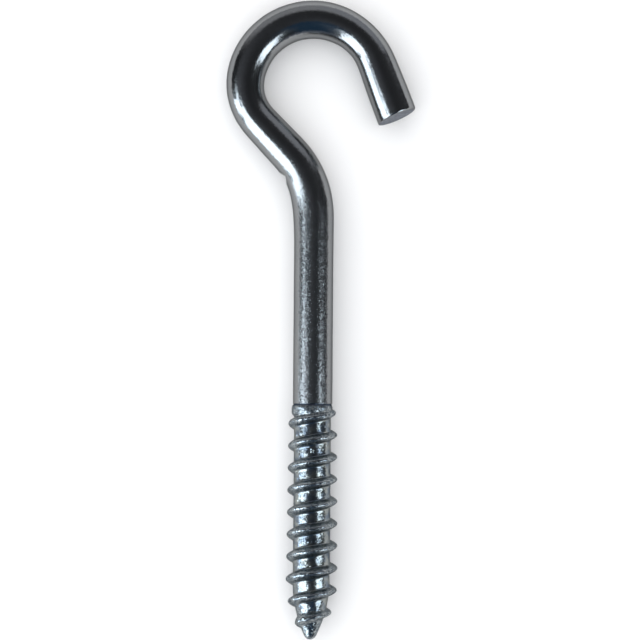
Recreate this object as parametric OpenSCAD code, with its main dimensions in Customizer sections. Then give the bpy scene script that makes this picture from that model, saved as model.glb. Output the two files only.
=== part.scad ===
// Screw hook: one length of round steel wire. One end is bent to an open hook and sheared off, and the other is
// rolled to a coarse right-hand wood thread with a round-nosed point.
// It lies flat: the hook is in the XY plane, the shank runs along Y with the hook towards +Y, and the origin
// is on the screw's axis where the thread begins.

/* [Wire] */
// Diameter of the plain shank
shank_d = 6.2; // [6:0.1:7]
// Diameter of the wire in the hook, which bending has drawn thinner
hook_d = 6.0; // [5.4:0.1:7]

/* [Hook] */
// Length of the plain shank, from the thread to the first bend
shank_len = 29.3; // [10:0.1:80]
// Centre-line radius of the bend that sets the neck off to one side
bend_r = 14.5; // [8:0.5:25]
// Turn of that bend, in degrees
bend_angle = 43.4; // [36:0.1:55]
// Length of the straight neck between the bend and the hook's heel
neck_len = 6.8; // [2:0.1:15]
// Centre-line radius of the tighter heel, where the wire turns back
heel_r = 8.5; // [6:0.1:12]
// Turn of the heel, in degrees
heel_angle = 53.3; // [30:0.1:70]
// Centre-line radius of the hook's bowl
bowl_r = 10.7; // [8:0.1:16]
// Turn of the bowl, in degrees
bowl_angle = 149.2; // [120:0.1:160]
// Length of the straight tip, from the bowl to the middle of the cut end
tip_len = 9; // [4:0.1:15]

/* [Cut end] */
// Slant of the sheared end face, in degrees
cut_slant = 5; // [0:0.5:10]
// Width of the broken edge round the end face
cut_break = 0.3; // [0.1:0.05:0.8]

/* [Die mark] */
// Place of the forming die's nick on the inside of the bend, in degrees of the bend
mark_angle = 32; // [18:1:34]
// Depth of the nick
mark_depth = 0.45; // [0.1:0.05:1]
// Length of the nick's short face, on the neck's side
mark_ledge = 0.9; // [0.5:0.1:1.5]
// Length of the nick's long face, on the shank's side
mark_run = 1.4; // [0.8:0.1:2.5]

/* [Thread] */
// Length of the threaded end, from the shank to the nose
thread_len = 36.6; // [25:0.2:60]
// Core diameter
core_d = 5.75; // [5:0.05:5.9]
// Outside diameter of the thread near the shank
crest_d_shank = 7.7; // [7:0.05:9]
// Outside diameter of the thread where the point begins
crest_d_point = 8.2; // [7:0.05:9]
// Pitch
pitch = 3.45; // [3:0.05:5]
// Width of the flat on the crest
crest_flat = 0.25; // [0.1:0.05:0.4]
// Angle between the two flanks, in degrees
flank_angle = 60; // [45:1:65]
// Distance from the thread's start to the first crest on the hook's side
first_crest = 1.35; // [0:0.05:3]
// Length of the run-in, where the ridge grows out of the core
run_in = 2.1; // [1:0.1:4]
// Height of the ridge at its end, before it runs out
end_height = 0.75; // [0.4:0.05:1]
// Length of the run-out
run_out = 0.9; // [0.5:0.1:2]
// Distance from the nose to the end of the ridge
end_gap = 1.9; // [1.5:0.1:4]

/* [Collar] */
// Diameter of the bead rolled up between the shank and the thread
collar_d = 6.55; // [6.3:0.05:7.2]
// Length of the bead
collar_len = 1.9; // [1:0.1:2.2]

/* [Point] */
// Length of the point
point_len = 9; // [6:0.1:14]
// Radius of the round nose
nose_r = 0.85; // [0.4:0.05:1.2]

/* [Hidden] */
$fn = 96;

// Each bend is a hair thicker than what it joins and runs on over it, so that they make one solid
joint_step = 0.04;
joint_lap = 0.3;

// The core, and the point's ogive, which is tangent to the core and to the nose
core_r = core_d / 2;
core_len = thread_len - point_len;
core_seat = 1;
nose_z = point_len - nose_r;
ogive_r = (core_r * core_r + nose_z * nose_z - nose_r * nose_r) / (2 * (core_r - nose_r));
ogive_end = ogive_r * nose_z / (ogive_r - nose_r);

// The bead's arc stands on the core
collar_rise = (collar_d - core_d) / 2;
collar_arc = (collar_len * collar_len / 4 + collar_rise * collar_rise) / (2 * collar_rise);

// The ridge is a row of sections, each with two crest corners and two corners sunk in the core
steps_per_turn = 36;
ridge_sink = 0.4;
ridge_start = -ridge_sink / 2;
ridge_end = thread_len - end_gap;
ridge_steps = ceil(ridge_end / pitch * steps_per_turn);
corners = 4;

function mix(a, b, t) = a + (b - a) * max(0, min(1, t));
function ease(t) = let (s = max(0, min(1, t))) s * s * (3 - 2 * s);

// Radius of the core at a distance from the thread's start
function core_at(z) =
    let (p = max(0, z - core_len))
    core_r - ogive_r + sqrt(ogive_r * ogive_r - p * p);

// Height of the ridge over the core, with its run-in and run-out
function ridge_at(z) =
    let (parallel = mix(crest_d_shank, crest_d_point, z / core_len) / 2 - core_r)
    let (full = mix(parallel, end_height, (z - core_len) / (ridge_end - core_len)))
    mix(ridge_start, full, ease(z / run_in) * ease((ridge_end - z) / run_out));

// Corners of the section at z, each by its place along the axis and its distance from it
function section(z) =
    let (height = ridge_at(z), top = crest_flat / 2)
    let (foot = top + (height + ridge_sink) * tan(flank_angle / 2))
    [
        [z - foot, core_at(z - foot) - ridge_sink],
        [z - top, core_at(z) + height],
        [z + top, core_at(z) + height],
        [z + foot, core_at(z + foot) - ridge_sink],
    ];

// A straight stretch of wire towards +Y, with what follows it at its end
module straight(length, d_start, d_end) {
    rotate([-90, 0, 0])
        cylinder(h = length, d1 = d_start, d2 = d_end);
    translate([0, length, 0])
        children();
}

// A bent stretch of wire that starts towards +Y and turns to -X (side 1) or +X (side -1), with what follows it
module bent(radius, angle, d, side) {
    lap = joint_lap / radius * 180 / PI;
    translate([-side * radius, 0, 0]) {
        mirror([side < 0 ? 1 : 0, 0, 0])
            rotate([0, 0, -lap])
                rotate_extrude(angle = angle + 2 * lap)
                    translate([radius, 0])
                        circle(d = d);
        rotate([0, 0, side * angle])
            translate([side * radius, 0, 0])
                children();
    }
}

// The straight tip, with its end sheared at a slant and its edge broken by a cone
module tip() {
    uncut_len = tip_len + hook_d;
    end_r = hook_d / 2 - cut_break;
    intersection() {
        rotate([-90, 0, 0])
            cylinder(h = uncut_len, d = hook_d);
        translate([0, tip_len, 0])
            rotate([90 + cut_slant, 0, 0])
                cylinder(h = uncut_len, r1 = end_r, r2 = end_r + uncut_len);
    }
}

// The V-shaped nick that the forming die leaves on the inside of the bend. Its two faces run on out of the wire
// as far as they run in.
module die_mark() {
    translate([-bend_r, shank_len, 0])
        rotate([0, 0, mark_angle])
            translate([bend_r - shank_d / 2, 0, -shank_d / 2])
                linear_extrude(shank_d)
                    polygon([[mark_depth, 0], [-mark_depth, 2 * mark_ledge], [-mark_depth, -2 * mark_run]]);
}

// The shank and the hook, from the thread to the cut end
module hook() {
    difference() {
        straight(shank_len, shank_d, shank_d)
            bent(bend_r, bend_angle, shank_d + joint_step, 1)
                straight(neck_len, shank_d, hook_d)
                    bent(heel_r, heel_angle, hook_d + joint_step, -1)
                        bent(bowl_r, bowl_angle, hook_d + 2 * joint_step, -1)
                            tip();
        die_mark();
    }
}

// Half section of the core, with the ogive of the point and its round nose
module core_section() {
    translate([0, -core_seat])
        square([core_r, core_len + core_seat]);
    translate([0, core_len]) {
        intersection() {
            translate([core_r - ogive_r, 0])
                circle(ogive_r);
            square([2 * core_r, ogive_end]);
        }
        intersection() {
            translate([0, nose_z])
                circle(nose_r);
            translate([0, ogive_end])
                square([core_r, point_len]);
        }
    }
}

// The bead between the shank and the thread
module collar() {
    rotate_extrude()
        translate([collar_d / 2 - collar_arc, collar_len / 2])
            circle(collar_arc);
}

// The helical ridge of the thread, right-hand, running down from the shank
module ridge() {
    points = [
        for (i = [0:ridge_steps])
            let (z = ridge_end * i / ridge_steps, turn = 360 * (z - first_crest) / pitch)
                for (c = section(z)) [c[1] * cos(turn), c[1] * sin(turn), c[0]]
    ];
    sides = [
        for (i = [0:ridge_steps - 1])
            for (j = [0:corners - 1])
                let (a = i * corners + j, b = i * corners + (j + 1) % corners)
                    each [[a, b, b + corners], [a, b + corners, a + corners]]
    ];
    first = [for (j = [corners - 1:-1:0]) j];
    last = [for (j = [0:corners - 1]) ridge_steps * corners + j];
    polyhedron(points, concat([first, last], sides));
}

// The threaded end, turned from its own axis to point along -Y
module screw() {
    rotate([90, 0, 0]) {
        rotate_extrude()
            core_section();
        collar();
        ridge();
    }
}

module screw_hook() {
    color([0.74, 0.77, 0.8])
        union() {
            hook();
            screw();
        }
}

screw_hook();
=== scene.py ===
"""A zinc-plated screw hook that lies on a pale floor, seen from above.

Lengths are millimetres in the part's frame: the screw's axis is Y, the thread runs from the origin towards -Y, the
hook lies in the XY plane and Z is up. MM turns them to metres where a mesh, a lamp or the camera is made.
"""
import math

import bpy
import numpy as np
from mathutils import Matrix, Quaternion, Vector, noise


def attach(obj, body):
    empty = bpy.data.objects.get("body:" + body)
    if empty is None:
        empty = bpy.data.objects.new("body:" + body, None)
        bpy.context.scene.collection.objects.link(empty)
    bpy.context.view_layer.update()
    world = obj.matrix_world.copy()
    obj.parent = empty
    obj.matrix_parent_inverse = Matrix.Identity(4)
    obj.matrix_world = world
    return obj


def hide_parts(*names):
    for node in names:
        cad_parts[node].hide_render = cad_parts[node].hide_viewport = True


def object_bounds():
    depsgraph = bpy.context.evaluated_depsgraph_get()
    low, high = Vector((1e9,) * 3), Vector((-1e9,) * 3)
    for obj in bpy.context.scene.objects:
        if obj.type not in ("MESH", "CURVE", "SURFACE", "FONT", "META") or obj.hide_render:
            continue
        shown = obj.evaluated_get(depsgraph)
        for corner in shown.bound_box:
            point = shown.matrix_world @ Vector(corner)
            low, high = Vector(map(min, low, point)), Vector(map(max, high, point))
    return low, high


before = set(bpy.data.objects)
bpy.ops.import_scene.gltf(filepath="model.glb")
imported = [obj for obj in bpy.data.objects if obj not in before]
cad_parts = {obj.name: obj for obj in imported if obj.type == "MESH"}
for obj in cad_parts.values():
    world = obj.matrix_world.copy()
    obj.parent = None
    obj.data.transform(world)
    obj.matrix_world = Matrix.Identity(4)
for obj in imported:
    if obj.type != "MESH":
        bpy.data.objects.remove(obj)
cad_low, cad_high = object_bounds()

MM = 0.001

# The wire, from the thread to the cut end: straight, bent to the left, straight, and bent to the right in two arcs
SHANK_LEN = 29.3
BEND_R = 14.5
BEND_TURN = math.radians(43.4)
NECK_LEN = 6.8
HEEL_R = 8.5
HEEL_TURN = math.radians(53.3)
BOWL_R = 10.7
BOWL_TURN = math.radians(149.2)
TIP_LEN = 9.0
# Lengths over which one curvature, and one radius, passes into the next
BEND_EASE = 2.0
RADIUS_EASE = 5.0
# Radius by place along the wire, drawn thinner by the tight bends and spread by the shear at the end
WIRE_R = [
    (0, 3.08), (24, 3.08), (32, 3.13), (41, 3.11), (50, 2.9),
    (56, 3.02), (72, 3.0), (79, 2.89), (87, 3.17), (93, 3.2),
]
# Waves along the wire, as their width and their depth
WAVES = 5.0, 0.012

# The cut end: its slant from the vertical, its turn in the hook's plane, the rounding of its rim on each side, and the
# length over which the rings take on its slant
CUT_SLANT = math.radians(4)
CUT_TURN = math.radians(2.5)
RIM_INNER = 0.12
RIM_OUTER = 0.4
SHEAR_LEN = 4.0

# The forming die's nick on the inside of the bend, and the swelling beside it, by place along the wire
MARK_AT = SHANK_LEN + BEND_R * math.radians(33.3)
MARK_DEPTH = 0.52
MARK_LEDGE = 1.07
MARK_RUN = 1.67
SWELL_AT = SHANK_LEN + BEND_R * math.radians(8)
SWELL_LEN = 6.0
SWELL = 0.17

# The thread
THREAD_LEN = -cad_low.y / MM
CORE_R = 2.875
CREST_R_SHANK = 3.78
CREST_R_POINT = 4.03
PITCH = 3.45
FIRST_CREST = 1.35
RUN_IN = 1.85
RUN_OUT = 0.8
# Distance from the nose to the end of the ridge
END_GAP = 1.65
RIDGE_END = THREAD_LEN - END_GAP
# The ridge's height at its end and at its start, which is under the core's surface, and the width of its fillet
END_HEIGHT = 0.62
RIDGE_START = -0.2
ROOT_ROUND = 0.15
# The ridge stands off to the right, where it is sharper: its crest's shift, how fast it falls from the crest on each
# side, and how much faster at its end
CREST_SHIFT = 0.05
FALL_LEFT = 1.3
FALL_RIGHT = 1.75
END_FALL = 1.6
# The last stretch of the ridge, where its flank towards the shank fills up and grows this much longer
FILL_LEN = 2.6
END_FILL = 3.2
# How far the nose leans to the left, and how late the lean sets in
LEAN = 0.14
LEAN_POWER = 6

# The bead between the shank and the thread, which bulges to the left, and how flat its back is
BEAD_LEN = 1.9
BEAD_R_LEFT = 3.28
BEAD_R_RIGHT = 3.12
BEAD_POWER = 4

# The point, an ogive tangent to the core and to the round nose
POINT_LEN = 9.0
NOSE_R = 1.0
CORE_LEN = THREAD_LEN - POINT_LEN
NOSE_Z = POINT_LEN - NOSE_R
OGIVE_R = (CORE_R ** 2 + NOSE_Z ** 2 - NOSE_R ** 2) / (2 * (CORE_R - NOSE_R))
OGIVE_END = OGIVE_R * NOSE_Z / (OGIVE_R - NOSE_R)

# Dents of the rolled thread, each as its width and its depth, and how much deeper they are on the ridge
DENTS = [(1.3, 0.03), (0.5, 0.012)]
RIDGE_DENTS = 3.0

# The mesh: its columns of points, the rings on the end face, and its steps along the wire, the nick, the edge of the
# thread, the wire's path and the bead
COLUMNS = 128
FACE_RINGS = 12
RING_STEP = 0.4
MARK_STEP = 0.08
EDGE_STEP = 0.04
PATH_STEP = 0.02
BEAD_STEP = 0.12
# Turns of the rim's quarter round, turns of the round nose, and places of points on the ridge, out from its crest
RIM_TURNS = np.radians(np.arange(0, 91, 15))
NOSE_TURNS = np.radians(np.arange(8, 80, 6))
RIDGE_STEPS = np.array([0, 0.07, 0.14, 0.22, 0.31, 0.42, 0.54, 0.67, 0.81, 0.97, 1.15, 1.34, 1.53])
# Material slots
WIRE, CUT, THREAD = 0, 1, 2

# The camera
AIM = Vector((1.06, 13.14, 0))
DISTANCE = 500.3
ELEVATION = math.radians(86.78)
ROLL = math.radians(0.42)
FIELD = math.radians(11.42)
CLIP = 10, 10000

# The plating's grain: the width of its crystals, how far they lean in each zone, and the zone's roughness
GRAIN = 0.24
HOOK_TILT, HOOK_ROUGH = 0.045, 0.165
SHANK_TILT, SHANK_ROUGH = 0.08, 0.23
# Where the grain of the shank fades out towards the hook
GRAIN_FADE = 26.0, 46.0
# Dust in the plating, by its width, its share of the surface and how far it leans in each zone
DUST = 0.06
DUST_SHARE = 0.2
HOOK_DUST, SHANK_DUST = 0.12, 0.3
# Colours of the plated wire and the width of its clouds, and its wear, by its width and its change of roughness
ZINC = (0.222, 0.23, 0.238), (0.258, 0.262, 0.262)
CLOUDS = 3.0
WEAR = 0.9
WEAR_ROUGH = 0.02
# The thread's plating, with the radii between which the core's finish passes into the ridge's
THREAD_GRAIN = 0.2
CORE_TILT, CORE_ROUGH = 0.075, 0.2
RIDGE_TILT, RIDGE_ROUGH = 0.22, 0.25
RIDGE_FROM = 2.97, 3.12
# The flanks and the bead are rougher: where the surface faces along the axis this much, and how rough they are
FLANK_FROM = 0.25, 0.6
FLANK_ROUGH = 0.32
BEAD_ROUGH = 0.33
# Distances from the shank over which the bead's finish sets in, and half the width over which it ends
BEAD_FROM = 0.15, 0.3
BEAD_EDGE = 0.2
# Distances from the shank over which the ridge's finish spreads over the whole point, and its share on the core
NOSE_FROM = 30.5, 33.0
CORE_WORN = 0.17
# Dents pressed into the ridge and the bead, by their width and how far they lean
RIDGE_DENT = 0.45
RIDGE_DENT_TILT = 0.25
# The thread's crystals that catch the light: their share, and how far they lean
FLAKES = 0.04
FLAKE_TILT = 0.6
# Blotches pressed into the thread, by their width and their depth
BLOTCH = 1.1
BLOTCH_DEPTH = 0.03
# Stains of the passivation on the thread, and the fine mottling of the ridge, by their widths and their colours
STAIN = 1.2
STAIN_COLOURS = (0.135, 0.165, 0.205), (0.295, 0.308, 0.29)
MOTTLE = 0.22
MOTTLE_COLOURS = (0.1, 0.12, 0.145), (0.37, 0.395, 0.395)
# Painted shade in the groove beside the shank: a dark colour in place of the plating's, by the distances from the
# shank over which it fades out
GROOVE_SHADE_SPAN = 0.2, 0.5
PAINTED_GROOVE_SHADE = 0.05, 0.062, 0.08
# How dark the plating is where it is seen at a slant
EDGE_TINT = 0.36, 0.36, 0.36, 1
# The sheared end: the width and depth of its torn grain, the width of its clouds, its colours and its finish
TEAR = 0.35
TEAR_DEPTH = 0.05
CUT_CLOUDS = 0.5
CUT_COLOURS = (0.085, 0.096, 0.118), (0.17, 0.183, 0.21)
CUT_FINISH = {"Metallic": 0.4, "Roughness": 0.6, "Specular IOR Level": 0.2}
# The part of a noise's range that makes the whole change of a colour or of a roughness
SHARP = 0.35, 0.65
SOFT = 0.25, 0.75

# The floor: half its width, and the width and colours of the clouds in its paper
FLOOR_HALF = 2000
PAPER_CLOUDS = 40.0
PAPER = (0.88, 0.88, 0.88), (0.9, 0.9, 0.9)

# The lamps: the point that each faces, its azimuth, elevation and distance from there, its size and its radiance
KEY_BOX = (0, 48, 0), -141.5, 30.5, 450, (255, 458), 5.8
LOW_BOX = (0, -22, 0), -174.9, 17.5, 437, (99, 268), 6.5
FILL_BOX = (0, 37, 0), 180, 32, 481, (75, 120), 1.6
FOOT_BOX = (0, 8, 0), 180, 34, 481, (40, 90), 3.2
SIDE_BOX = (-8, 51, 0), -30.5, 31.5, 290, (125, 185), 5.0
KEY_ROLL = math.radians(16)
COOL = (0.81, 0.915, 1.0)
# The floor's own lamp: its azimuth and elevation, its width and its strength
FLOOR_LAMP = -150, 70
FLOOR_LAMP_WIDTH = math.radians(140)
FLOOR_LAMP_POWER = 4.0

# The room: dark, lighter high on the left and a little on the right. Each AT is an azimuth and an elevation, each FROM
# how nearly a direction has to point there, and each X, Y or Z that part of its unit vector, as the start and the end
# of the change.
ROOM = 0.036, 0.038, 0.042
LEFT = 0.17, 0.18, 0.2
LEFT_AT = -150, 0
LEFT_FROM, LEFT_Z = (-0.5, 0.8), (0.35, 0.8)
RIGHT = 0.065, 0.068, 0.074
RIGHT_AT = 60, 15
RIGHT_FROM = 0.2, 0.9
# A patch of blue high on the near side, and the walls. The right wall, too, is at RIGHT_AT.
BLUE = 0.03, 0.075, 0.14
BLUE_X, BLUE_Y = (0.2, 0.45), (-0.4, -0.2)
NEAR_WALL = 0.3, 0.33, 0.4
NEAR_Y, NEAR_Z = (-0.85, -0.6), (0.1, 0.28)
FAR_WALL = 0.56, 0.57, 0.6
FAR_Y, FAR_Z = (0.45, 0.78), (0.52, 0.74)
RIGHT_WALL = 0.53, 0.55, 0.6
RIGHT_WALL_FROM = 0.885, 0.95


def ease(t):
    """Smooth step from 0 to 1."""
    t = np.clip(t, 0, 1)
    return t * t * (3 - 2 * t)


def mix(a, b, t):
    return a + (b - a) * np.clip(t, 0, 1)


def smooth_max(a, b, width):
    """The larger of two heights, with a fillet where they cross."""
    t = np.clip(0.5 + 0.5 * (a - b) / width, 0, 1)
    return mix(b, a, t) + width * t * (1 - t)


def blurred(values, length):
    """Values in small steps along the wire, each averaged over a length of it."""
    half = round(length / PATH_STEP / 2)
    padded = np.pad(values, half, mode="edge")
    return np.convolve(padded, np.full(2 * half + 1, 1 / (2 * half + 1)), mode="valid")


def wire_path():
    """Place along the wire, centre x and y, heading and radius, in small steps."""
    stretches = [
        (SHANK_LEN, 0),
        (BEND_R * BEND_TURN, 1 / BEND_R),
        (NECK_LEN, 0),
        (HEEL_R * HEEL_TURN, -1 / HEEL_R),
        (BOWL_R * BOWL_TURN, -1 / BOWL_R),
        (TIP_LEN, 0),
    ]
    ends = np.cumsum([length for length, _ in stretches])
    bends = np.array([bend for _, bend in stretches])
    along = np.arange(0, ends[-1], PATH_STEP)
    heading = math.pi / 2 + np.cumsum(blurred(bends[np.searchsorted(ends, along)], BEND_EASE)) * PATH_STEP
    x, y = np.cumsum(np.cos(heading)) * PATH_STEP, np.cumsum(np.sin(heading)) * PATH_STEP
    return along, x, y, heading, blurred(np.interp(along, *zip(*WIRE_R)), RADIUS_EASE)


def ring_places(length):
    """Places of the rings along the wire, close together at the thread and at the nick."""
    nick = MARK_AT - 2 * MARK_RUN, MARK_AT + 2 * MARK_LEDGE
    wide = np.arange(0, length - RIM_OUTER, RING_STEP)
    close = np.concatenate([[EDGE_STEP], np.arange(*nick, MARK_STEP)])
    return np.union1d(wide[(wide < nick[0]) | (wide > nick[1])], close)


def nick_inside(right, radius, places):
    """The wire's cross sections with the nick's two faces cut into their inner side."""
    depth = np.interp(places, [MARK_AT - MARK_RUN, MARK_AT, MARK_AT + MARK_LEDGE], [0, MARK_DEPTH, 0])
    nicked = (np.abs(places - MARK_AT) < MARK_RUN)[:, None]
    return np.where(nicked, np.maximum(right, (depth - radius)[:, None]), right)


def wire_points():
    """The wire's rings of points from the thread's start to the cut end's face, and on to the middle of that face."""
    along, path_x, path_y, path_heading, path_radius = wire_path()
    length = along[-1]
    places = ring_places(length)
    angle = 2 * math.pi * np.arange(COLUMNS) / COLUMNS

    radius = np.interp(places, along, path_radius)
    right = radius[:, None] * np.cos(angle)
    up = radius[:, None] * np.sin(angle)
    swell = SWELL * ease(1 - np.abs(places - SWELL_AT) / SWELL_LEN)
    right = nick_inside(right + swell[:, None] * np.minimum(np.cos(angle), 0), radius, places)
    ahead = np.zeros(right.shape)
    shear = ease((places - length + SHEAR_LEN) / SHEAR_LEN)

    # The rim's quarter round, and rings on to the middle of the end face
    turns = RIM_TURNS[:, None]
    face = np.linspace(1, 0, FACE_RINGS + 1)[1:-1, None]
    rim = mix(RIM_INNER, RIM_OUTER, 0.5 - 0.5 * np.cos(angle))
    end_r = np.vstack([path_radius[-1] - rim * (1 - np.cos(turns)), (path_radius[-1] - rim) * face])
    right = np.vstack([right, end_r * np.cos(angle)])
    up = np.vstack([up, end_r * np.sin(angle)])
    ahead = np.vstack([ahead, rim * (np.sin(turns) - 1), np.zeros((len(face), COLUMNS))])
    places = np.concatenate([places, np.full(len(end_r), length)])
    shear = np.concatenate([shear, np.ones(len(end_r))])

    ahead = ahead + shear[:, None] * (right * math.tan(CUT_TURN) - up * math.tan(CUT_SLANT))
    heading = np.interp(places, along, path_heading)[:, None]
    x = np.interp(places, along, path_x)[:, None] + right * np.sin(heading) + ahead * np.cos(heading)
    y = np.interp(places, along, path_y)[:, None] - right * np.cos(heading) + ahead * np.sin(heading)
    return waved(np.stack([x, y, up], axis=-1), places, length), np.array([path_x[-1], path_y[-1], 0])


def waved(rings, places, length):
    """The rings with shallow waves over the wire, which fade out at the thread and at the cut end."""
    width, depth = WAVES
    fade = ease(places / width) * ease((length - places) / width)
    middles = rings.mean(axis=1, keepdims=True)
    swell = [[noise.noise(Vector(p) / width) for p in ring] for ring in rings]
    outwards = (rings - middles) / np.linalg.norm(rings - middles, axis=-1, keepdims=True)
    return rings + outwards * (depth * fade[:, None] * np.array(swell))[..., None]


def core_radius(z):
    ogive_z = np.maximum(z - CORE_LEN, 0)
    ogive = CORE_R - OGIVE_R + np.sqrt(OGIVE_R ** 2 - ogive_z ** 2)
    nose = np.sqrt(np.maximum(NOSE_R ** 2 - (ogive_z - NOSE_Z) ** 2, 0))
    return np.where(ogive_z < OGIVE_END, ogive, nose)


def ridge_height(z):
    """Height of the ridge's crest over the core, with its run-in and run-out."""
    parallel = mix(CREST_R_SHANK, CREST_R_POINT, z / CORE_LEN) - CORE_R
    full = mix(parallel, END_HEIGHT, (np.maximum(z - CORE_LEN, 0) / (RIDGE_END - CORE_LEN)) ** 2)
    return mix(RIDGE_START, full, ease(z / RUN_IN) * ease((RIDGE_END - z) / RUN_OUT))


def bead_radius(z, turn):
    """The bead, with a flat back and steep sides, which stands on the core."""
    top = mix(BEAD_R_RIGHT, BEAD_R_LEFT, 0.5 - 0.5 * math.cos(2 * math.pi * turn))
    across = np.minimum(np.abs(2 * z / BEAD_LEN - 1), 1)
    return np.where(z < BEAD_LEN, top - (top - CORE_R) * across ** BEAD_POWER, 0)


def screw_radius(z, turn):
    """Distance of the screw's surface from its axis, at places z and at turn, from 0 at +X over a quarter at +Z."""
    phase = (z - FIRST_CREST) / PITCH - turn
    off_crest = (phase - np.round(phase)) * PITCH
    crest_z = np.clip(z - off_crest, 0, THREAD_LEN)
    to_right = math.cos(2 * math.pi * turn)
    crest = core_radius(crest_z) + ridge_height(crest_z) + CREST_SHIFT * to_right
    filled = mix(1, END_FILL, (crest_z - RIDGE_END + FILL_LEN) / FILL_LEN)
    off_crest = off_crest / np.where(off_crest < 0, filled, 1)
    to_end = (crest_z - CORE_LEN) / (RIDGE_END - CORE_LEN)
    fall = mix(FALL_LEFT, FALL_RIGHT, 0.5 + 0.5 * to_right) * mix(1, END_FALL, to_end)
    ridge = crest - fall * off_crest ** 2
    core = core_radius(z)
    return np.maximum(smooth_max(core, ridge, ROOT_ROUND), bead_radius(z, turn)), ridge > core


def screw_places(turn):
    """Places of a column's points along the thread: in step with the ridge, and close together on bead and nose."""
    gap = BEAD_STEP / 2
    steps = np.union1d(RIDGE_STEPS, -RIDGE_STEPS)
    crests = FIRST_CREST + PITCH * (np.arange(-1, THREAD_LEN / PITCH) + turn)
    places = (crests[:, None] + steps).ravel()
    bead = np.arange(gap, BEAD_LEN, BEAD_STEP)
    nose = THREAD_LEN - NOSE_R * (1 - np.cos(NOSE_TURNS))
    body = places[(places > bead[-1] + gap) & (places < nose.min() - gap)]
    return np.sort(np.concatenate([bead, body, nose]))


def dent(point):
    """Depth of the dents at a point, from minus to plus."""
    return sum(deep * noise.noise(point / wide) for wide, deep in DENTS)


def lean(z):
    """Shift of the screw's axis to the right, at places z."""
    return -LEAN * (z / THREAD_LEN) ** LEAN_POWER


def screw_column(turn):
    """Places and points of one column of the screw, from the shank to the nose."""
    z = screw_places(turn)
    radius, on_ridge = screw_radius(z, turn)
    across = math.cos(2 * math.pi * turn), math.sin(2 * math.pi * turn)
    points = np.stack([radius * across[0], -z, radius * across[1]], axis=-1)
    dents = np.array([dent(Vector(p)) for p in points])
    dents = np.where(on_ridge, RIDGE_DENTS * np.minimum(dents, 0), dents)
    radius = radius + dents * ease((THREAD_LEN - z) / NOSE_R)
    return z, np.stack([radius * across[0] + lean(z), -z, radius * across[1]], axis=-1)


def zip_columns(left, right):
    """Triangles between two columns of (place, point number), joined in the order of their places."""
    faces = []
    i = k = 0
    while i + 1 < len(left) or k + 1 < len(right):
        if k + 1 == len(right) or (i + 1 < len(left) and left[i + 1][0] <= right[k + 1][0]):
            faces.append((left[i][1], right[k][1], left[i + 1][1]))
            i += 1
        else:
            faces.append((left[i][1], right[k][1], right[k + 1][1]))
            k += 1
    return faces


def hook_mesh():
    """One closed mesh of the whole hook, with the wire, the cut end's face and the thread in their slots."""
    rings, centre = wire_points()
    points = [rings.reshape(-1, 3), centre[None]]
    centre_number = rings.shape[0] * COLUMNS
    count = centre_number + 1

    def ring(row, column):
        return row * COLUMNS + column % COLUMNS

    faces = []
    slots = []
    for row in range(rings.shape[0] - 1):
        for column in range(COLUMNS):
            faces.append((ring(row, column), ring(row + 1, column), ring(row + 1, column + 1), ring(row, column + 1)))
            slots.append(CUT if row >= rings.shape[0] - FACE_RINGS else WIRE)
    last = rings.shape[0] - 1
    for column in range(COLUMNS):
        faces.append((ring(last, column), centre_number, ring(last, column + 1)))
        slots.append(CUT)

    columns = []
    for column in range(COLUMNS):
        z, column_points = screw_column(column / COLUMNS)
        columns.append([(0.0, column)] + list(zip(z, range(count, count + len(z)))))
        points.append(column_points)
        count += len(z)
    nose = count
    points.append(np.array([[lean(THREAD_LEN), -THREAD_LEN, 0]]))
    for column in range(COLUMNS):
        left, right = columns[column], columns[(column + 1) % COLUMNS]
        screw_faces = zip_columns(left, right) + [(left[-1][1], right[-1][1], nose)]
        faces += screw_faces
        slots += [THREAD] * len(screw_faces)

    mesh = bpy.data.meshes.new("hook_skin")
    mesh.from_pydata((np.concatenate(points) * MM).tolist(), [], faces)
    mesh.polygons.foreach_set("use_smooth", [True] * len(faces))
    mesh.polygons.foreach_set("material_index", slots)
    mesh.validate()
    mesh.update()
    return mesh


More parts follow.
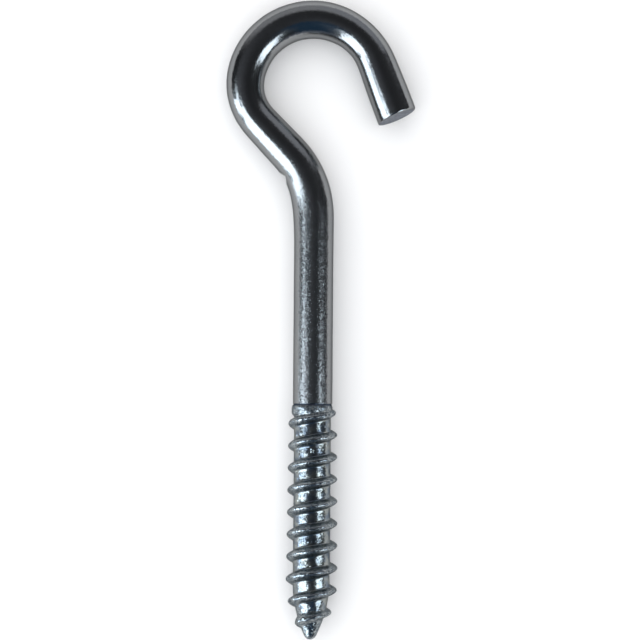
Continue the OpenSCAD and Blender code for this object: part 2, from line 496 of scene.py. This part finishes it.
class Shader:
    """A node tree with short calls for the nodes that the materials use."""

    def __init__(self, tree):
        self.tree = tree
        tree.nodes.clear()

    def add(self, kind, inputs=(), **settings):
        """A new node. inputs pairs a socket's name or number with a value or with another node's output."""
        made = self.tree.nodes.new("ShaderNode" + kind)
        for name, value in settings.items():
            setattr(made, name, value)
        for name, value in dict(inputs).items():
            if isinstance(value, bpy.types.NodeSocket):
                self.tree.links.new(value, made.inputs[name])
            else:
                made.inputs[name].default_value = value
        return made

    def math(self, operation, *values):
        return self.add("Math", enumerate(values), operation=operation).outputs[0]

    def range(self, value, low, high, to_low=0.0, to_high=1.0):
        """value mapped smoothly from low..high to to_low..to_high."""
        inputs = {"Value": value, "From Min": low, "From Max": high, "To Min": to_low, "To Max": to_high}
        return self.add("MapRange", inputs, interpolation_type="SMOOTHSTEP").outputs["Result"]

    def fade(self, value, low, high):
        """1 up to low, and from there smoothly down to 0 at high."""
        return self.range(value, low, high, 1.0, 0.0)

    def dot(self, direction, azimuth, elevation):
        """How nearly a direction points towards an azimuth and an elevation, 1 where it does."""
        inputs = {0: direction, 1: towards(azimuth, elevation)}
        return self.add("VectorMath", inputs, operation="DOT_PRODUCT").outputs["Value"]

    def noise(self, where, width, detail=2.0):
        """Noise from 0 to 1 whose features are about width millimetres wide."""
        inputs = {"Vector": where, "Scale": 1 / (width * MM), "Detail": detail}
        return self.add("TexNoise", inputs).outputs["Fac"]

    def mix(self, factor, a, b):
        """A blend of two colours, each a socket or three numbers."""
        ends = {name: c if isinstance(c, bpy.types.NodeSocket) else (*c, 1) for name, c in (("A", a), ("B", b))}
        return self.add("Mix", {"Factor": factor, **ends}, data_type="RGBA").outputs["Result"]

    def cells(self, where, width):
        """A random colour in each of many cells about width millimetres wide."""
        return self.add("TexVoronoi", {"Vector": where, "Scale": 1 / (width * MM)}).outputs["Color"]

    def scattered(self, cells, share):
        """1 in a random share of the cells, and 0 in the others."""
        chance = self.add("TexWhiteNoise", {"Vector": cells}).outputs["Value"]
        return self.math("LESS_THAN", chance, share)

    def lean(self, cells, tilt):
        """How far the surface leans in each cell, at random within tilt."""
        lean = self.add("VectorMath", {0: cells, 1: (0.5, 0.5, 0.5)}, operation="SUBTRACT").outputs[0]
        return self.add("VectorMath", {0: lean, "Scale": tilt}, operation="SCALE").outputs[0]

    def leaning(self, leans):
        """The surface's normal, with each of the leans added to it."""
        normal = self.add("NewGeometry").outputs["Normal"]
        for lean in leans:
            normal = self.add("VectorMath", {0: normal, 1: lean}, operation="ADD").outputs[0]
        return self.add("VectorMath", {0: normal}, operation="NORMALIZE").outputs[0]


def new_material(name):
    material = bpy.data.materials.new(name)
    material.use_nodes = True
    return material, Shader(material.node_tree)


def plated(sh, colour, roughness, normal):
    """The shader of the bright plating."""
    shader = sh.add("BsdfPrincipled", {
        "Base Color": colour,
        "Metallic": 1.0,
        "Roughness": roughness,
        "Specular Tint": EDGE_TINT,
        "Normal": normal,
    })
    sh.add("OutputMaterial", {"Surface": shader.outputs[0]})


def zinc_material():
    """Bright zinc plating, with a crystalline grain on the shank and smooth where the wire was bent."""
    material, sh = new_material("zinc_plating")
    where = sh.add("TexCoord").outputs["Object"]
    y = sh.add("SeparateXYZ", {0: where}).outputs["Y"]
    shank = sh.fade(y, GRAIN_FADE[0] * MM, GRAIN_FADE[1] * MM)

    tilt = sh.math("MULTIPLY_ADD", shank, SHANK_TILT - HOOK_TILT, HOOK_TILT)
    dust = sh.cells(where, DUST)
    dusty = sh.math("MULTIPLY_ADD", shank, SHANK_DUST - HOOK_DUST, HOOK_DUST)
    dusty = sh.math("MULTIPLY", sh.scattered(dust, DUST_SHARE), dusty)
    normal = sh.leaning([sh.lean(sh.cells(where, GRAIN), tilt), sh.lean(dust, dusty)])

    colour = sh.mix(sh.noise(where, CLOUDS, detail=3.0), *ZINC)
    wear = sh.range(sh.noise(where, WEAR), *SOFT, -WEAR_ROUGH, WEAR_ROUGH)
    roughness = sh.math("ADD", sh.math("MULTIPLY_ADD", shank, SHANK_ROUGH - HOOK_ROUGH, HOOK_ROUGH), wear)
    plated(sh, colour, roughness, normal)
    return material


def thread_material():
    """The plating of the thread: stained and blotched, with a rough and dented ridge and point."""
    material, sh = new_material("zinc_thread")
    coordinates = sh.add("TexCoord").outputs
    where = coordinates["Object"]
    along = sh.math("ABSOLUTE", sh.add("SeparateXYZ", {0: coordinates["Normal"]}).outputs["Y"])
    flank = sh.range(along, *FLANK_FROM)
    y = sh.add("SeparateXYZ", {0: where}).outputs["Y"]
    bead = sh.range(y, -(BEAD_LEN + BEAD_EDGE) * MM, -(BEAD_LEN - BEAD_EDGE) * MM)
    bead = sh.math("MULTIPLY", bead, sh.fade(y, -BEAD_FROM[1] * MM, -BEAD_FROM[0] * MM))
    across = sh.add("VectorMath", {0: where, 1: (1, 0, 1)}, operation="MULTIPLY").outputs[0]
    off_axis = sh.add("VectorMath", {0: across}, operation="LENGTH").outputs["Value"]
    ridge = sh.range(off_axis, RIDGE_FROM[0] * MM, RIDGE_FROM[1] * MM)
    nose = sh.fade(y, -NOSE_FROM[1] * MM, -NOSE_FROM[0] * MM)
    ridge = sh.math("MAXIMUM", ridge, nose)
    worn = sh.math("MAXIMUM", ridge, CORE_WORN)

    grain = sh.cells(where, THREAD_GRAIN)
    tilt = sh.math("MULTIPLY_ADD", worn, RIDGE_TILT - CORE_TILT, CORE_TILT)
    tilt = sh.math("MULTIPLY_ADD", sh.scattered(grain, FLAKES), FLAKE_TILT, tilt)
    dented = sh.lean(sh.cells(where, RIDGE_DENT), sh.math("MULTIPLY", worn, RIDGE_DENT_TILT))
    leaning = sh.leaning([sh.lean(grain, tilt), dented])
    blotch = sh.noise(where, BLOTCH)
    normal = sh.add("Bump", {"Height": blotch, "Distance": BLOTCH_DEPTH * MM, "Normal": leaning}).outputs["Normal"]

    colour = sh.mix(sh.range(sh.noise(where, STAIN, detail=5.0), *SHARP), *STAIN_COLOURS)
    mottled = sh.mix(sh.range(sh.noise(where, MOTTLE, detail=1.0), *SHARP), *MOTTLE_COLOURS)
    colour = sh.mix(sh.math("MAXIMUM", worn, bead), colour, mottled)
    # Painted shade: the plating is coloured dark in the groove beside the shank
    colour = sh.mix(sh.range(y, -GROOVE_SHADE_SPAN[1] * MM, -GROOVE_SHADE_SPAN[0] * MM), colour, PAINTED_GROOVE_SHADE)
    roughness = sh.math("MULTIPLY_ADD", ridge, RIDGE_ROUGH - CORE_ROUGH, CORE_ROUGH)
    roughness = sh.math("MAXIMUM", roughness, sh.math("MULTIPLY", flank, FLANK_ROUGH))
    roughness = sh.math("MAXIMUM", roughness, sh.math("MULTIPLY", bead, BEAD_ROUGH))
    plated(sh, colour, roughness, normal)
    return material


def cut_material():
    """The sheared end: dull grey steel with a fine torn grain."""
    material, sh = new_material("cut_steel")
    where = sh.add("TexCoord").outputs["Object"]
    tear = sh.noise(where, TEAR, detail=4.0)
    bump = sh.add("Bump", {"Height": tear, "Distance": TEAR_DEPTH * MM}).outputs["Normal"]
    colour = sh.mix(sh.range(sh.noise(where, CUT_CLOUDS, detail=3.0), *SHARP), *CUT_COLOURS)
    shader = sh.add("BsdfPrincipled", {"Base Color": colour, "Normal": bump, **CUT_FINISH})
    sh.add("OutputMaterial", {"Surface": shader.outputs[0]})
    return material


def floor_material():
    """Matt white paper."""
    material, sh = new_material("floor_paper")
    where = sh.add("TexCoord").outputs["Object"]
    colour = sh.mix(sh.noise(where, PAPER_CLOUDS), *PAPER)
    shader = sh.add("BsdfDiffuse", {"Color": colour})
    sh.add("OutputMaterial", {"Surface": shader.outputs[0]})
    return material


def add_object(name, data):
    made = bpy.data.objects.new(name, data)
    bpy.context.scene.collection.objects.link(made)
    return made


def towards(azimuth, elevation):
    """Unit vector at an azimuth from +X towards +Y and an elevation over the floor, both in degrees."""
    a, e = math.radians(azimuth), math.radians(elevation)
    return Vector((math.cos(e) * math.cos(a), math.cos(e) * math.sin(a), math.sin(e)))


def softbox(name, seen_from, azimuth, elevation, distance, size, radiance, roll=0.0):
    """A rectangular lamp that faces the point it is seen from, with its edges rolled by an angle."""
    data = bpy.data.lights.new(name, "AREA")
    data.shape = "RECTANGLE"
    data.size, data.size_y = size[0] * MM, size[1] * MM
    data.energy = radiance * math.pi * data.size * data.size_y
    lamp = add_object(name, data)
    back = towards(azimuth, elevation)
    lamp.location = (Vector(seen_from) + back * distance) * MM
    lamp.rotation_euler = (back.to_track_quat("Z", "Y") @ Quaternion((0, 0, 1), roll)).to_euler()
    data.color = COOL
    lamp.visible_camera = False
    lamp.visible_diffuse = False


def add_lights():
    softbox("key_box", *KEY_BOX, KEY_ROLL)
    softbox("low_box", *LOW_BOX)
    softbox("fill_box", *FILL_BOX)
    softbox("foot_box", *FOOT_BOX)
    softbox("side_box", *SIDE_BOX)
    # A wide lamp for the floor and its shadow, which the metal doesn't mirror
    data = bpy.data.lights.new("floor_lamp", "SUN")
    data.angle = FLOOR_LAMP_WIDTH
    data.energy = FLOOR_LAMP_POWER
    lamp = add_object("floor_lamp", data)
    lamp.rotation_euler = towards(*FLOOR_LAMP).to_track_quat("Z", "Y").to_euler()
    lamp.visible_glossy = False


def add_world():
    """A dark room that is lighter on the left, with dim walls and a patch of blue high on the near side."""
    world = bpy.data.worlds.new("room")
    world.use_nodes = True
    bpy.context.scene.world = world
    sh = Shader(world.node_tree)
    direction = sh.add("TexCoord").outputs["Generated"]
    axes = sh.add("SeparateXYZ", {0: direction}).outputs
    beside = sh.math("ABSOLUTE", axes["X"])
    right = sh.dot(direction, *RIGHT_AT)

    left = sh.range(sh.dot(direction, *LEFT_AT), *LEFT_FROM)
    colour = sh.mix(sh.math("MULTIPLY", left, sh.range(axes["Z"], *LEFT_Z)), ROOM, LEFT)
    colour = sh.mix(sh.range(right, *RIGHT_FROM), colour, RIGHT)
    blue = sh.math("MULTIPLY", sh.fade(axes["Y"], *BLUE_Y), sh.fade(beside, *BLUE_X))
    colour = sh.mix(blue, colour, BLUE)
    near = sh.math("MULTIPLY", sh.fade(axes["Y"], *NEAR_Y), sh.fade(axes["Z"], *NEAR_Z))
    colour = sh.mix(near, colour, NEAR_WALL)
    far = sh.math("MULTIPLY", sh.range(axes["Y"], *FAR_Y), sh.fade(axes["Z"], *FAR_Z))
    colour = sh.mix(far, colour, FAR_WALL)
    colour = sh.mix(sh.range(right, *RIGHT_WALL_FROM), colour, RIGHT_WALL)
    background = sh.add("Background", {"Color": colour})
    sh.add("OutputWorld", {"Surface": background.outputs[0]})


def add_floor():
    half = FLOOR_HALF * MM
    z = cad_low.z
    mesh = bpy.data.meshes.new("floor")
    mesh.from_pydata([(-half, -half, z), (half, -half, z), (half, half, z), (-half, half, z)], [], [(0, 1, 2, 3)])
    mesh.materials.append(floor_material())
    floor = add_object("floor", mesh)


def add_camera():
    data = bpy.data.cameras.new("camera")
    data.angle = FIELD
    data.clip_start, data.clip_end = CLIP[0] * MM, CLIP[1] * MM
    camera = add_object("camera", data)
    back = Vector((0, -math.cos(ELEVATION), math.sin(ELEVATION)))
    up = Vector((0, math.sin(ELEVATION), math.cos(ELEVATION)))
    right = Vector((1, 0, 0))
    rolled_right = right * math.cos(ROLL) + up * math.sin(ROLL)
    rolled_up = up * math.cos(ROLL) - right * math.sin(ROLL)
    turned = Matrix((rolled_right, rolled_up, back)).transposed().to_4x4()
    camera.matrix_world = Matrix.Translation((AIM + back * DISTANCE) * MM) @ turned
    bpy.context.scene.camera = camera


def add_hook():
    mesh = hook_mesh()
    mesh.materials.append(zinc_material())
    mesh.materials.append(cut_material())
    mesh.materials.append(thread_material())
    hook = add_object("hook", mesh)
    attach(hook, "root")
    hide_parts("screw_hook")


bpy.context.scene.view_settings.view_transform = "Standard"
add_camera()
add_hook()
add_floor()
add_lights()
add_world()
